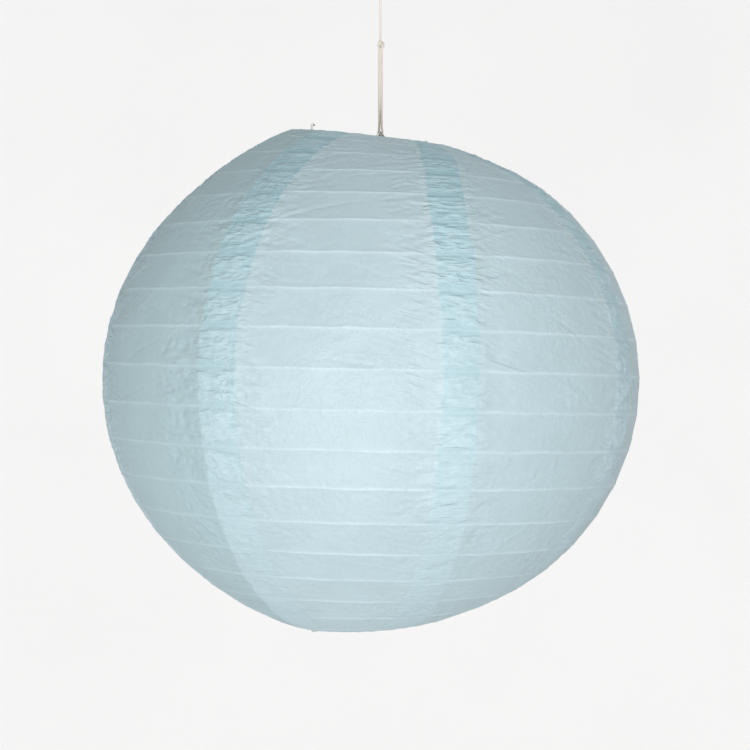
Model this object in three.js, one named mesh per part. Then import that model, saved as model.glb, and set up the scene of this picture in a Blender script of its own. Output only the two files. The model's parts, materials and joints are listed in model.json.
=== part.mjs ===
// A round paper lantern hanging on a cord: eight overlapped paper gores glued over one spiral wire
// rib between two rim rings, stretched open by a wire expander whose crown hangs in a cord sling.
// Units are millimetres, +Z is up, and the origin is where a hook bears in the cord's top loop.
import * as THREE from "three";

// ---- driving dimensions ----
const LANTERN_RADIUS = 250;          // inside of the paper at the widest place
const LANTERN_HALF_HEIGHT = 232.9;   // where the profile would close, if it had no openings
const PROFILE_POWER = 1.0;         // over 1 makes the shoulders a little flatter than an ellipse
const OPENING_RADIUS = 75;           // edge of the paper at both openings
const LANTERN_CENTRE = [-9, -7.7, -393.7]; // the body hangs a little off the cord's line
const TOP_RIM = { lift: 4.8, slopeX: -0.11, slopeY: 0.08 };   // the top rim is pulled up on one side
const BOTTOM_RIM = { lift: 0, slopeX: 0.058, slopeY: 0.05 };  // and the bottom rim sits askew
const RIM_PULL_POWER = 10;           // how fast that dies away from the rims
const SPIRAL_TURNS = 18;
const SPIRAL_START = 15;             // azimuth, in degrees, where the spiral leaves the top rim
const RIB_WIRE_RADIUS = 0.65;
const RIM_WIRE_RADIUS = 1.25;
const FRAME_WIRE_RADIUS = 1.1;
const PAPER = 0.25;                  // sheet thickness
const GAP = 0.3;                     // clearance between touching pieces
const SEAM_AZIMUTHS = [-120.7, -73.2, -30.7, 15, 60, 104, 150, 194]; // centres of the glued laps
const LAP_AT_RIM = 18;               // width of a glued lap at the openings
const LAP_AT_EQUATOR = 33;           // and at the widest place
const LAP_RAMP = 3;                  // the sheet steps up over its neighbour in this width
const CORD_RADIUS = 1.15;
const CROWN_TOP = -158.7;            // highest point of the crown's wire
const UPPER_KNOT = { z: -27, radius: 3.6, half: 3.2 };
const LOWER_KNOT = { z: -76.5, radius: 4.1, half: 3.4 };
const HANGING_LOOP_WIDTH = 9;
const FRAME_AZIMUTH = 40.7;           // direction of the expander's plane, in degrees
const EYE_DROP = 16;                 // the crossbar's eyes hold the legs this far under the rim ring
const TIP_HEIGHT = 7.5;              // how far a leg's tip stands out past a rim ring

const rad = THREE.MathUtils.degToRad;
const centre = new THREE.Vector3(...LANTERN_CENTRE);

// ---- materials ----
const finish = (name, color, roughness, metalness) =>
  new THREE.MeshStandardMaterial({ name, color, roughness, metalness, side: THREE.DoubleSide });
const paperFinish = () => finish("paper", 0xbcd6dd, 0.9, 0);
const ribFinish = () => finish("rib_wire", 0xc9d3d4, 0.5, 0.6);
const steelFinish = () => finish("frame_wire", 0x6f7468, 0.4, 0.9);
const cordFinish = () => finish("cord", 0xe9dfce, 0.95, 0);

// ---- the lantern's profile, by length along a meridian from the top opening ----
const RIM_LATITUDE = Math.acos(OPENING_RADIUS / LANTERN_RADIUS);
const PROFILE_STEPS = 720;
const profile = [];
for (let i = 0; i <= PROFILE_STEPS; i++) {
  const latitude = RIM_LATITUDE * (1 - (2 * i) / PROFILE_STEPS);
  const sine = Math.sin(latitude);
  const r = LANTERN_RADIUS * Math.cos(latitude);
  const z = LANTERN_HALF_HEIGHT * Math.sign(sine) * Math.abs(sine) ** PROFILE_POWER;
  const last = profile[i - 1];
  const s = last ? last.s + Math.hypot(r - last.r, z - last.z) : 0;
  profile.push({ s, r, z });
}
const MERIDIAN = profile[PROFILE_STEPS].s;
const PITCH = MERIDIAN / SPIRAL_TURNS;
const RIM_HEIGHT = profile[0].z;

// Radius, height and outward normal of the profile at length s.
function profileAt(s) {
  const wanted = THREE.MathUtils.clamp(s, 0, MERIDIAN);
  let low = 0;
  let high = PROFILE_STEPS;
  while (high - low > 1) {
    const middle = (low + high) >> 1;
    if (profile[middle].s <= wanted) low = middle;
    else high = middle;
  }
  const a = profile[low];
  const b = profile[high];
  const t = (wanted - a.s) / (b.s - a.s);
  const length = Math.hypot(b.r - a.r, b.z - a.z);
  return {
    r: a.r + t * (b.r - a.r),
    z: a.z + t * (b.z - a.z),
    outR: (a.z - b.z) / length,
    outZ: (b.r - a.r) / length,
  };
}

// How far the crooked rims lift a point at x, y, z from the lantern's centre.
function rimPull(x, y, z) {
  const rim = z > 0 ? TOP_RIM : BOTTOM_RIM;
  const share = Math.min(1, Math.abs(z) / RIM_HEIGHT) ** RIM_PULL_POWER;
  return share * (rim.lift + rim.slopeX * x + rim.slopeY * y);
}

// The point at length s and azimuth (degrees), out millimetres outside the paper's inner face.
function skinPoint(s, azimuth, out) {
  const p = profileAt(s);
  const r = p.r + out * p.outR;
  const x = r * Math.cos(rad(azimuth));
  const y = r * Math.sin(rad(azimuth));
  const z = p.z + out * p.outZ;
  return new THREE.Vector3(x, y, z + rimPull(x, y, p.z)).add(centre);
}

// ---- closed solids ----
// A path through given points whose extrusion steps fall exactly on them.
class PointPath extends THREE.Curve {
  constructor(points) {
    super();
    this.points = points;
  }
  getPoint(t, target = new THREE.Vector3()) {
    const at = THREE.MathUtils.clamp(t, 0, 1) * (this.points.length - 1);
    const i = Math.min(Math.floor(at), this.points.length - 2);
    return target.lerpVectors(this.points[i], this.points[i + 1], at - i);
  }
  getPointAt(u, target) {
    return this.getPoint(u, target);
  }
  getTangentAt(u, target) {
    return this.getTangent(u, target);
  }
}

function tube(points, radius, sides) {
  const section = new THREE.Shape();
  for (let i = 0; i < sides; i++) {
    const angle = (2 * Math.PI * i) / sides;
    const x = radius * Math.cos(angle);
    const y = radius * Math.sin(angle);
    if (i) section.lineTo(x, y);
    else section.moveTo(x, y);
  }
  return new THREE.ExtrudeGeometry(section, {
    steps: points.length - 1,
    extrudePath: new PointPath(points),
    bevelEnabled: false,
  });
}

// The points of a wire bent at its corners, with each bend starting this far from its corner.
function bends(corners, reach, perBend = 3) {
  const path = new THREE.CurvePath();
  let from = corners[0];
  for (let i = 1; i < corners.length - 1; i++) {
    const corner = corners[i];
    const back = corners[i - 1].clone().sub(corner);
    const on = corners[i + 1].clone().sub(corner);
    const into = corner.clone().addScaledVector(back.clone().normalize(),
      Math.min(reach, back.length() / 2.05));
    const out = corner.clone().addScaledVector(on.clone().normalize(),
      Math.min(reach, on.length() / 2.05));
    path.add(new THREE.LineCurve3(from, into));
    path.add(new THREE.QuadraticBezierCurve3(into, corner, out));
    from = out;
  }
  path.add(new THREE.LineCurve3(from, corners[corners.length - 1]));
  return path.getPoints(perBend);
}

// A closed shell between two grids of points, inner and outer, each grid[row][column].
function shell(inner, outer) {
  const rows = inner.length;
  const columns = inner[0].length;
  const positions = [...inner.flat(), ...outer.flat()].flatMap((p) => p.toArray());
  const at = (layer, row, column) => layer * rows * columns + row * columns + column;
  const faces = [];
  const quad = (a, b, c, d) => faces.push(a, b, c, a, c, d);
  for (let i = 0; i < rows - 1; i++) {
    for (let j = 0; j < columns - 1; j++) {
      quad(at(1, i, j), at(1, i + 1, j), at(1, i + 1, j + 1), at(1, i, j + 1));
      quad(at(0, i, j), at(0, i, j + 1), at(0, i + 1, j + 1), at(0, i + 1, j));
    }
    quad(at(0, i, 0), at(0, i + 1, 0), at(1, i + 1, 0), at(1, i, 0));
    quad(at(0, i, columns - 1), at(1, i, columns - 1),
      at(1, i + 1, columns - 1), at(0, i + 1, columns - 1));
  }
  for (let j = 0; j < columns - 1; j++) {
    quad(at(0, 0, j), at(1, 0, j), at(1, 0, j + 1), at(0, 0, j + 1));
    quad(at(0, rows - 1, j), at(0, rows - 1, j + 1), at(1, rows - 1, j + 1), at(1, rows - 1, j));
  }
  const geometry = new THREE.BufferGeometry();
  geometry.setAttribute("position", new THREE.Float32BufferAttribute(positions, 3));
  geometry.setIndex(faces);
  geometry.computeVertexNormals();
  return geometry;
}

// ---- the spiral's rows and the gores' columns ----
// Length along the meridian of the spiral's turn number row, at an azimuth.
const rowLength = (row, azimuth) => PITCH * (row + (azimuth - SPIRAL_START) / 360);

const seamAzimuth = (k) =>
  SEAM_AZIMUTHS[k % SEAM_AZIMUTHS.length] + 360 * Math.floor(k / SEAM_AZIMUTHS.length);

// Half the angle that a glued lap takes up, in degrees, at length s.
function halfLap(s) {
  const { r } = profileAt(s);
  const part = (r - OPENING_RADIUS) / (LANTERN_RADIUS - OPENING_RADIUS);
  return THREE.MathUtils.radToDeg((LAP_AT_RIM + part * (LAP_AT_EQUATOR - LAP_AT_RIM)) / 2 / r);
}

const ROW_CLEARANCE = 0.6; // a row that starts beyond a rim is laid this close beside the rim

function goreGeometry(k) {
  const from = seamAzimuth(k);
  const to = seamAzimuth(k + 1);
  const isInside = (row) =>
    rowLength(row, to + halfLap(0)) > ROW_CLEARANCE &&
    rowLength(row, from - halfLap(0)) < MERIDIAN - ROW_CLEARANCE;
  const first = Math.floor(-to / 360) - 1;
  const rows = [];
  for (let row = first; row < first + SPIRAL_TURNS + 4; row++) if (isInside(row)) rows.push(row);
  const lengthOf = (row, azimuth) =>
    THREE.MathUtils.clamp(rowLength(row, azimuth), ROW_CLEARANCE, MERIDIAN - ROW_CLEARANCE);
  const lines = [() => 0, ...rows.map((row) => (a) => lengthOf(row, a)), () => MERIDIAN];
  const raised = PAPER + GAP;
  const inner = [];
  const outer = [];
  for (const line of lines) {
    const startLap = halfLap(line(from));
    const endLap = halfLap(line(to));
    const ramp = THREE.MathUtils.radToDeg(LAP_RAMP / profileAt(line(to)).r);
    const open = to - endLap - (from + startLap);
    const columns = [
      [from - startLap, 0],
      [from + startLap, 0],
      [from + startLap + open / 3, 0],
      [from + startLap + (2 * open) / 3, 0],
      [to - endLap - ramp, 0],
      [to - endLap, raised],
      [to + endLap, raised],
    ];
    inner.push(columns.map(([azimuth, level]) => skinPoint(line(azimuth), azimuth, level)));
    outer.push(columns.map(([azimuth, level]) => skinPoint(line(azimuth), azimuth, level + PAPER)));
  }
  return shell(inner, outer);
}

const SPIRAL_END = 0.16; // the rib starts and ends this share of a turn away from the rims

function spiralGeometry() {
  const depth = -(GAP + RIB_WIRE_RADIUS + 0.15);
  const flat = 0.0065; // the paper's facets cut this share of the radius off its roundness
  const points = [];
  const last = seamAzimuth(0) + 360 * (SPIRAL_TURNS + 2);
  for (let k = 0; seamAzimuth(k) < last; k++) {
    const seam = seamAzimuth(k);
    const next = seamAzimuth(k + 1);
    const lap = halfLap(rowLength(0, seam));
    const nextLap = halfLap(rowLength(0, next));
    const stops = [
      [seam - lap, 0],
      [seam + lap, 0],
      [(seam + lap + next - nextLap) / 2, 1],
    ];
    for (const [azimuth, between] of stops) {
      const s = rowLength(0, azimuth);
      if (s < SPIRAL_END * PITCH || s > MERIDIAN - SPIRAL_END * PITCH) continue;
      points.push(skinPoint(s, azimuth, depth - between * flat * profileAt(s).r));
    }
  }
  return tube(points, RIB_WIRE_RADIUS, 4);
}

// ---- rim rings: tori under the paper's edges, bent as the rims are ----
const RIM_INSET = 0.5 + RIM_WIRE_RADIUS;

// Centre of the rim wire at an azimuth.
const rimCentre = (s, azimuth) => skinPoint(s, azimuth, -RIM_INSET);

function ringGeometry(s) {
  const p = profileAt(s);
  const ring = new THREE.TorusGeometry(p.r - RIM_INSET * p.outR, RIM_WIRE_RADIUS, 6, 48);
  ring.translate(0, 0, p.z - RIM_INSET * p.outZ);
  const at = ring.getAttribute("position");
  for (let i = 0; i < at.count; i++) {
    at.setZ(i, at.getZ(i) + rimPull(at.getX(i), at.getY(i), p.z));
  }
  ring.translate(...LANTERN_CENTRE);
  return ring;
}

// ---- the wire expander, in a vertical plane through the cord's line ----
const along = new THREE.Vector3(Math.cos(rad(FRAME_AZIMUTH)), Math.sin(rad(FRAME_AZIMUTH)), 0);
const across = new THREE.Vector3(-along.y, along.x, 0);

// A point of the expander: q along its plane, z up and v across it.
const inFrame = (q, z, v = 0) =>
  new THREE.Vector3(0, 0, z).addScaledVector(along, q).addScaledVector(across, v);

// Where the expander's plane meets a rim wire on one side (-1 or 1): { q, z }.
function rimContact(s, side) {
  const ringCentre = centre.clone().setZ(0);
  const radius = profileAt(s).r - RIM_INSET * profileAt(s).outR;
  const middle = ringCentre.dot(along);
  const offset = ringCentre.dot(across);
  const q = middle + side * Math.sqrt(radius ** 2 - offset ** 2);
  const at = inFrame(q, 0).sub(ringCentre);
  const azimuth = THREE.MathUtils.radToDeg(Math.atan2(at.y, at.x));
  return { q, z: rimCentre(s, azimuth).z };
}

const LEG_INSET = 9;      // a leg's long run stands this far inside the rim ring
const SEAT_REACH = 2.2;   // the bent seat under the ring goes this far past the ring's centre
const seatDrop = RIM_WIRE_RADIUS + FRAME_WIRE_RADIUS + GAP;
const tipInset = RIM_WIRE_RADIUS + FRAME_WIRE_RADIUS + 1;
const legAt = (side) => side * (Math.abs(rimContact(0, side).q) - LEG_INSET);

function legGeometry(side) {
  const top = rimContact(0, side);
  const bottom = rimContact(MERIDIAN, side);
  const out = (contact, past) => side * (Math.abs(contact.q) + past);
  const topEnd = [
    inFrame(out(top, -tipInset - 3.2), top.z + TIP_HEIGHT - 1.2),
    inFrame(out(top, -tipInset), top.z + TIP_HEIGHT),
    inFrame(out(top, -tipInset), top.z - seatDrop),
    inFrame(out(top, SEAT_REACH), top.z - seatDrop),
    inFrame(out(top, SEAT_REACH), top.z - seatDrop - 4.2),
    inFrame(legAt(side), top.z - seatDrop - 8.5),
  ];
  const bottomEnd = [
    inFrame(legAt(side), bottom.z + seatDrop + 9),
    inFrame(out(bottom, SEAT_REACH), bottom.z + seatDrop + 4.2),
    inFrame(out(bottom, SEAT_REACH), bottom.z + seatDrop),
    inFrame(out(bottom, -tipInset), bottom.z + seatDrop),
    inFrame(out(bottom, -tipInset), bottom.z - 3.4),
    inFrame(out(bottom, -tipInset - 7), bottom.z - 3.4),
  ];
  return tube(bends([...topEnd, ...bottomEnd], 1.8), FRAME_WIRE_RADIUS, 8);
}

// Height of the crossbar's eye on a leg.
const eyeHeight = (side) => rimContact(0, side).z - EYE_DROP;

const EYE_RADIUS = 2 * FRAME_WIRE_RADIUS + GAP;
const CROWN_SPREAD = 24; // half the crown's width at its foot

// The points of an eye that goes most of the way round a leg, from the crossbar outwards.
function eyePoints(side) {
  const steps = 9;
  const turn = 1.6 * Math.PI;
  const points = [];
  for (let i = 0; i <= steps; i++) {
    const angle = (turn * i) / steps;
    const q = legAt(side) + side * EYE_RADIUS * Math.sin(angle);
    points.push(inFrame(q, eyeHeight(side), EYE_RADIUS * Math.cos(angle)));
  }
  return points;
}

function crossbarGeometry() {
  const apex = CROWN_TOP - FRAME_WIRE_RADIUS;
  const left = eyePoints(-1).reverse();
  const right = eyePoints(1);
  const slope = (eyeHeight(1) - eyeHeight(-1)) / (legAt(1) - legAt(-1));
  const barHeight = (q) => eyeHeight(-1) + slope * (q - legAt(-1));
  const bar = bends([
    inFrame(legAt(-1) + 1, eyeHeight(-1), EYE_RADIUS),
    inFrame(-CROWN_SPREAD - 12, barHeight(-CROWN_SPREAD - 12)),
    inFrame(-CROWN_SPREAD, barHeight(-CROWN_SPREAD)),
    inFrame(0, apex + 1.1),
    inFrame(CROWN_SPREAD, barHeight(CROWN_SPREAD)),
    inFrame(CROWN_SPREAD + 12, barHeight(CROWN_SPREAD + 12)),
    inFrame(legAt(1) - 1, eyeHeight(1), EYE_RADIUS),
  ], 2.6, 4);
  return tube([...left, ...bar, ...right], FRAME_WIRE_RADIUS, 8);
}

// ---- the cord: a top loop, a straight run and a sling round the crown, with two knots ----
// A knot is a rounded lump, a little flattened from front to back and from top to bottom.
function knotGeometry({ z, radius, half }) {
  return new THREE.SphereGeometry(radius, 12, 8)
    .rotateX(Math.PI / 2)
    .scale(1, half / radius, half / radius)
    .translate(0, 0, z);
}

// A strand's points between two heights, about 2.5 diameters apart.
function strand(from, to) {
  const count = Math.max(2, Math.round(from.distanceTo(to) / (5 * CORD_RADIUS)));
  return Array.from({ length: count + 1 }, (_, i) => from.clone().lerp(to, i / count));
}

function hangingLoopGeometry() {
  const foot = UPPER_KNOT.z + UPPER_KNOT.half + GAP + 0.2;
  const half = HANGING_LOOP_WIDTH / 2;
  const shoulder = CORD_RADIUS - half;
  const arc = [];
  for (let i = 0; i <= 8; i++) {
    const angle = Math.PI * (1 - i / 8);
    arc.push(new THREE.Vector3(half * Math.cos(angle), 0, shoulder + half * Math.sin(angle)));
  }
  const rise = strand(new THREE.Vector3(-1.5, 0, foot), arc[0]).slice(0, -1);
  const fall = rise.map((p) => new THREE.Vector3(-p.x, 0, p.z)).reverse();
  return tube([...rise, ...arc, ...fall], CORD_RADIUS, 8);
}

function hangingCordGeometry() {
  const top = new THREE.Vector3(0, 0, UPPER_KNOT.z - UPPER_KNOT.half - GAP - 0.2);
  const end = new THREE.Vector3(0, 0, LOWER_KNOT.z + LOWER_KNOT.half + GAP + 0.2);
  return tube(strand(top, end), CORD_RADIUS, 8);
}

// The sling goes down one side of the crown's wire, under its apex and up the other side.
function crownSlingGeometry() {
  const head = LOWER_KNOT.z - LOWER_KNOT.half - GAP - 0.2;
  const apex = CROWN_TOP - FRAME_WIRE_RADIUS;
  const reach = FRAME_WIRE_RADIUS + GAP + CORD_RADIUS + 0.2;
  const arc = [];
  for (let i = 0; i <= 8; i++) {
    const angle = Math.PI * (1 + i / 8);
    arc.push(inFrame(0, apex + reach * Math.sin(angle), reach * Math.cos(angle)));
  }
  const down = strand(inFrame(0, head, -1.5), arc[0]).slice(0, -1);
  const up = down.map((p) => p.clone().addScaledVector(across, -2 * p.dot(across))).reverse();
  return tube([...down, ...arc, ...up], CORD_RADIUS, 8);
}

// ---- assembly ----
const lantern = new THREE.Group();

function add(name, geometry, material) {
  const mesh = new THREE.Mesh(geometry, material);
  mesh.name = name;
  lantern.add(mesh);
}

add("hanging_loop", hangingLoopGeometry(), cordFinish());
add("upper_knot", knotGeometry(UPPER_KNOT), cordFinish());
add("hanging_cord", hangingCordGeometry(), cordFinish());
add("lower_knot", knotGeometry(LOWER_KNOT), cordFinish());
add("crown_sling", crownSlingGeometry(), cordFinish());
add("expander_crossbar", crossbarGeometry(), steelFinish());
add("expander_leg_left", legGeometry(-1), steelFinish());
add("expander_leg_right", legGeometry(1), steelFinish());
add("top_ring", ringGeometry(0), steelFinish());
add("bottom_ring", ringGeometry(MERIDIAN), steelFinish());
add("spiral_rib", spiralGeometry(), ribFinish());
for (let k = 0; k < SEAM_AZIMUTHS.length; k++) {
  add("paper_gore_" + (k + 1), goreGeometry(k), paperFinish());
}

export default lantern;
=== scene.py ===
import json
import math

import bmesh
import bpy
import numpy as np
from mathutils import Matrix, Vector


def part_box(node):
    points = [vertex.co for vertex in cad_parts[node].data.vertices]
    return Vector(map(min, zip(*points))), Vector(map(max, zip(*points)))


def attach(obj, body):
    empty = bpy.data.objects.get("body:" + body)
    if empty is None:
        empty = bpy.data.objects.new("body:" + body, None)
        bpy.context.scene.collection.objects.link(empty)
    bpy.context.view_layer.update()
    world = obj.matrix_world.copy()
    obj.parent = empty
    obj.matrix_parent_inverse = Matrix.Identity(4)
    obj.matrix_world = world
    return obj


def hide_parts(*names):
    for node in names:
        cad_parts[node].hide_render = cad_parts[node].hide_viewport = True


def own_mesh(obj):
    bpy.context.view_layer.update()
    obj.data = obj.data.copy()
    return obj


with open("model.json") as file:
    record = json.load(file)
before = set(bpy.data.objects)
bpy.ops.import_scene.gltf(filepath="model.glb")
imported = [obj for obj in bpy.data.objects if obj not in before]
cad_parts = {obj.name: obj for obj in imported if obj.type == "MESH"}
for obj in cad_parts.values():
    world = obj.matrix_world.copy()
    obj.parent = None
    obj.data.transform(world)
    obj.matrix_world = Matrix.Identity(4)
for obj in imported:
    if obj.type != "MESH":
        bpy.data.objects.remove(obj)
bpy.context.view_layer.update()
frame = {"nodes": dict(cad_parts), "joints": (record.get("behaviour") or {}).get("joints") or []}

# ---- driving dimensions: the CAD model's own, but for three seams' places and LAP_AT_RIM ----
LANTERN_RADIUS = 0.250
LANTERN_HALF_HEIGHT = 0.2329
PROFILE_POWER = 1.0
OPENING_RADIUS = 0.075
TOP_RIM = (0.0048, -0.11, 0.08)      # lift, slope along X, slope along Y
BOTTOM_RIM = (0.0, 0.058, 0.05)
RIM_PULL_POWER = 10
SPIRAL_TURNS = 18
SPIRAL_START = 15                    # degrees, where the rib leaves the top rim
SEAM_AZIMUTHS = (-120.9, -73.0, -26.5, 15, 60, 104, 150, 194)
SEAMS = len(SEAM_AZIMUTHS)
LAP_AT_RIM = 0.027
LAP_AT_EQUATOR = 0.033
RIM_INSET = 0.00175                  # the rim wire's centre lies this far under the paper
RIB_INSET = 0.0008                   # and the spiral wire's centre this far
RIB_RADIUS = 0.00065
CORD_DIAMETER = 0.0023

# ---- the paper's own detail ----
PAPER = 0.00006                      # sheet thickness
LAP_LIFT = 0.00009                   # an upper sheet lies this far above the one that it overlaps
LAP_RAMP = 0.0030                    # and rises to it over this distance
SAG = 0.00025                        # the sheet dips this far between two turns of the rib
RIDGE = 0.00034                      # and stands this far up over the wire
RIDGE_WIDTH = 0.0013
RIDGE_IN_LAP = 0.55                  # a doubled sheet stands up by this share of a ridge
RIB_SWAY = 0.0007                    # the line over the wire strays by this much
TURN_IN = math.radians(120)          # how far the paper's edge is turned in round the rim wire
ROW_STEP = 0.00155                   # mesh spacing along a meridian
COLUMN_STEP = 0.0022                 # and round the lantern
ROW_CLEARANCE = 0.0006               # a mesh row along the rib stays this far from the rims

# Degrees that each seam strays by at the top rim and at the bottom rim, dying away from them.
SEAM_STRAY_TOP = (3, 24, 4, -5, 4, -6, 5, -4)
SEAM_STRAY_BOTTOM = (-12, 3, 6, -4, 3, 5, -5, 3)
STRAY_REACH = 0.064
SEAM_WAVER = 0.0016                  # how far a seam wavers from its course
LAP_WAVER = 0.0030                   # and how much its laps differ in width on the way
LAP_SHARE = (1.06, 0.93, 0.95, 1.05, 0.9, 1.0, 1.1, 0.9)  # each seam's lap against the usual width
GORE_TONE = (1.0, 0.97, 1.0, 0.96, 1.0, 0.97, 1.0, 0.86)  # each sheet's colour is scaled by this; the last sheet is drawn darkest


# ---- camera ----
LENS = 89.3                          # millimetres
SENSOR = 36
CAMERA_PLACE = (-0.0052, -1.7577, -0.3874)
CAMERA_TILT = math.radians(90 - 0.046)
FAR_CLIP = 60


def make_camera():
    """A level camera in front of the lantern, a little off its middle."""
    data = bpy.data.cameras.new("camera")
    data.lens = LENS
    data.sensor_width = SENSOR
    data.clip_end = FAR_CLIP
    camera = bpy.data.objects.new("camera", data)
    camera.location = CAMERA_PLACE
    camera.rotation_euler = (CAMERA_TILT, 0, 0)
    bpy.context.scene.collection.objects.link(camera)
    bpy.context.scene.camera = camera


make_camera()


# ---- small helpers ----
def mesh_object(name, points, faces, smooth=True):
    """A new mesh object from points and faces."""
    mesh = bpy.data.meshes.new(name)
    mesh.from_pydata([tuple(p) for p in points], [], [tuple(f) for f in faces])
    mesh.polygons.foreach_set("use_smooth", [smooth] * len(mesh.polygons))
    mesh.update()
    made = bpy.data.objects.new(name, mesh)
    bpy.context.scene.collection.objects.link(made)
    return made


def add_values(made, label, values):
    """Stores one number for each point of a mesh."""
    layer = made.data.attributes.new(label, "FLOAT", "POINT")
    layer.data.foreach_set("value", np.asarray(values, np.float32).ravel())


def add_vectors(made, label, vectors):
    """Stores one vector for each point of a mesh."""
    layer = made.data.attributes.new(label, "FLOAT_VECTOR", "POINT")
    layer.data.foreach_set("vector", np.asarray(vectors, np.float32).ravel())


def grid_faces(rows, columns, wrap=False):
    """The quads of a grid of points in rows; with wrap, the last column joins the first."""
    i = np.arange(rows - 1)[:, None]
    j = np.arange(columns if wrap else columns - 1)[None, :]
    here, right = i * columns + j, i * columns + (j + 1) % columns
    return np.stack([here, here + columns, right + columns, right], axis=-1).reshape(-1, 4)


def tube_faces(rings, sides):
    """The faces of a tube of rings of points, with a flat cap on each end."""
    faces = [tuple(f) for f in grid_faces(rings, sides, wrap=True)[:, ::-1]]
    faces.append(tuple(range(sides)))
    faces.append(tuple((rings - 1) * sides + j for j in reversed(range(sides))))
    return faces


def noise(x, y, seed):
    """Smooth noise between about -1 and 1, whose features are about 1 wide."""
    size = 256
    angle = np.random.default_rng(seed).uniform(0, 2 * np.pi, (size, size))
    i, j = np.floor(x).astype(int), np.floor(y).astype(int)
    fx, fy = x - i, y - j
    u, v = fx**3 * (fx * (6 * fx - 15) + 10), fy**3 * (fy * (6 * fy - 15) + 10)

    def corner(di, dj):
        turn = angle[(i + di) % size, (j + dj) % size]
        return np.cos(turn) * (fx - di) + np.sin(turn) * (fy - dj)

    low = corner(0, 0) * (1 - u) + corner(1, 0) * u
    high = corner(0, 1) * (1 - u) + corner(1, 1) * u
    return 1.5 * (low * (1 - v) + high * v)


def ridged(x, y, seed):
    """Noise with sharp crests, from -1 to 1."""
    return 1 - 2 * np.minimum(1, 1.6 * np.abs(noise(x, y, seed)))


def smoothstep(low, high, x):
    """Rises smoothly from 0 at low to 1 at high."""
    t = np.clip((x - low) / (high - low), 0, 1)
    return t * t * (3 - 2 * t)


# ---- the lantern's surface ----
RIM_LATITUDE = math.acos(OPENING_RADIUS / LANTERN_RADIUS)
PROFILE_POINTS = 721
latitude = np.linspace(RIM_LATITUDE, -RIM_LATITUDE, PROFILE_POINTS)
sine = np.sin(latitude)
profile_r = LANTERN_RADIUS * np.cos(latitude)
profile_z = LANTERN_HALF_HEIGHT * np.sign(sine) * np.abs(sine) ** PROFILE_POWER
profile_s = np.concatenate([[0], np.cumsum(np.hypot(np.diff(profile_r), np.diff(profile_z)))])
MERIDIAN = profile_s[-1]
PITCH = MERIDIAN / SPIRAL_TURNS
RIM_HEIGHT = profile_z[0]
BEYOND = 0.02  # the profile runs straight on for this length past both rims
step_r = BEYOND * (profile_r[1] - profile_r[0]) / profile_s[1]
step_z = BEYOND * (profile_z[1] - profile_z[0]) / profile_s[1]
profile_s = np.concatenate([[-BEYOND], profile_s, [MERIDIAN + BEYOND]])
profile_r = np.concatenate([[profile_r[0] - step_r], profile_r, [profile_r[-1] - step_r]])
profile_z = np.concatenate([[profile_z[0] - step_z], profile_z, [profile_z[-1] + step_z]])
profile_slope_r, profile_slope_z = np.gradient(profile_r, profile_s), np.gradient(profile_z, profile_s)


def radius_at(s):
    """The lantern's radius at length s along a meridian."""
    return np.interp(s, profile_s, profile_r)


def ring_middle(node):
    """The middle of a CAD node's box."""
    low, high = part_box(node)
    return (low + high) / 2


top_middle = ring_middle("top_ring")
bottom_middle = ring_middle("bottom_ring")
CENTRE = np.array([top_middle.x, top_middle.y, (top_middle.z + bottom_middle.z - TOP_RIM[0]) / 2])


def skin(s, azimuth, out=0.0):
    """The point at length s along the meridian at an azimuth in degrees, out metres outside."""
    s, azimuth, out = np.broadcast_arrays(s, np.radians(azimuth), out)
    slope_r = np.interp(s, profile_s, profile_slope_r)
    slope_z = np.interp(s, profile_s, profile_slope_z)
    z = np.interp(s, profile_s, profile_z)
    r = radius_at(s) - out * slope_z
    x, y = r * np.cos(azimuth), r * np.sin(azimuth)
    share = np.minimum(1, np.abs(z) / RIM_HEIGHT) ** RIM_PULL_POWER
    top = TOP_RIM[0] + TOP_RIM[1] * x + TOP_RIM[2] * y
    bottom = BOTTOM_RIM[0] + BOTTOM_RIM[1] * x + BOTTOM_RIM[2] * y
    pull = share * np.where(z > 0, top, bottom)
    return np.stack([x, y, z + out * slope_r + pull], axis=-1) + CENTRE


def straight_azimuth(k):
    """The azimuth of seam k's meridian; seam numbers go on past the last one, a turn further."""
    return SEAM_AZIMUTHS[k % SEAMS] + 360 * (k // SEAMS)


def seam_azimuth(k, s):
    """The azimuth of seam k's middle at length s: a meridian that strays near the rims."""
    n = k % SEAMS
    top = SEAM_STRAY_TOP[n] * np.exp(-np.maximum(s, 0) / STRAY_REACH)
    bottom = SEAM_STRAY_BOTTOM[n] * np.exp(-np.maximum(MERIDIAN - s, 0) / STRAY_REACH)
    waver = np.degrees(SEAM_WAVER * noise(s / 0.11, s * 0 + 0.5, 40 + n) / radius_at(s))
    return straight_azimuth(k) + top + bottom + waver


def half_lap(s, edge):
    """Half the angle of a glued lap, in degrees. Each edge of a lap has its own small waver."""
    share = smoothstep(-0.02, 0.05, np.minimum(s, MERIDIAN - s))
    width = LAP_AT_RIM + share * (LAP_AT_EQUATOR - LAP_AT_RIM)
    width = LAP_SHARE[edge // 2] * width + LAP_WAVER * noise(s / 0.045, s * 0 + 0.5, 60 + edge)
    return np.degrees(width / 2 / radius_at(s))


def lap_edges(k, s):
    """The azimuths of the lower and the upper sheet's edge in seam k, at one length s."""
    middle = float(seam_azimuth(k, s)[0])
    edge = 2 * (k % SEAMS)
    return middle - float(half_lap(s, edge)[0]), middle + float(half_lap(s, edge + 1)[0])


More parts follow.
